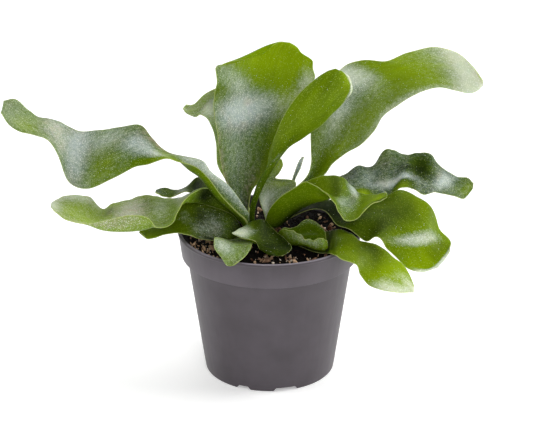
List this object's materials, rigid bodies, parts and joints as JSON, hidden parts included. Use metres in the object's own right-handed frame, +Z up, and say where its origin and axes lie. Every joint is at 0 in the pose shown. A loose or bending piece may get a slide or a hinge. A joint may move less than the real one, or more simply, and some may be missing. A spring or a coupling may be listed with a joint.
{
  "type": "potted staghorn fern",
  "caption": "Young staghorn fern with broad wavy silver-green fronds rising and arching from a low crown in a tapered grey nursery pot with a collar and cut feet.",
  "frame": {"origin": "on the surface the pot stands on, under the middle of the whole plant's bounding box", "axes": "+Z up; +X to the right as the picture shows the plant, along its widest spread; +Y away from the viewer"},
  "size_m": [0.3192, 0.1402, 0.218],
  "materials": {
    "pot_plastic": "satin moulded polypropylene, mid grey with a mauve cast",
    "potting_mix": "crumbly peat with bark chips, matt",
    "rhizome": "scaly and fibrous, matt",
    "frond_silvery": "leathery leaf under a bloom of pale star-shaped hairs, satin",
    "frond_green": "leathery leaf, brighter green with less bloom, satin"
  },
  "bodies": {
    "root": {"pot": "pot_plastic", "potting_mix": "potting_mix", "rhizome": "rhizome", "frond_upper_left": "frond_silvery", "frond_lower_left": "frond_silvery", "frond_left_under": "frond_silvery", "frond_left_behind": "frond_silvery", "frond_front_left": "frond_silvery", "frond_right_wavy": "frond_silvery", "frond_upper_right": "frond_silvery", "frond_central_fan": "frond_silvery", "frond_back_small": "frond_silvery", "frond_front_centre": "frond_green", "frond_young_cup": "frond_green", "frond_lower_right": "frond_green", "frond_right_arch": "frond_green", "frond_right_broad": "frond_green", "frond_upright_strap": "frond_green", "frond_back_left": "frond_green"}
  },
  "joints": []
}
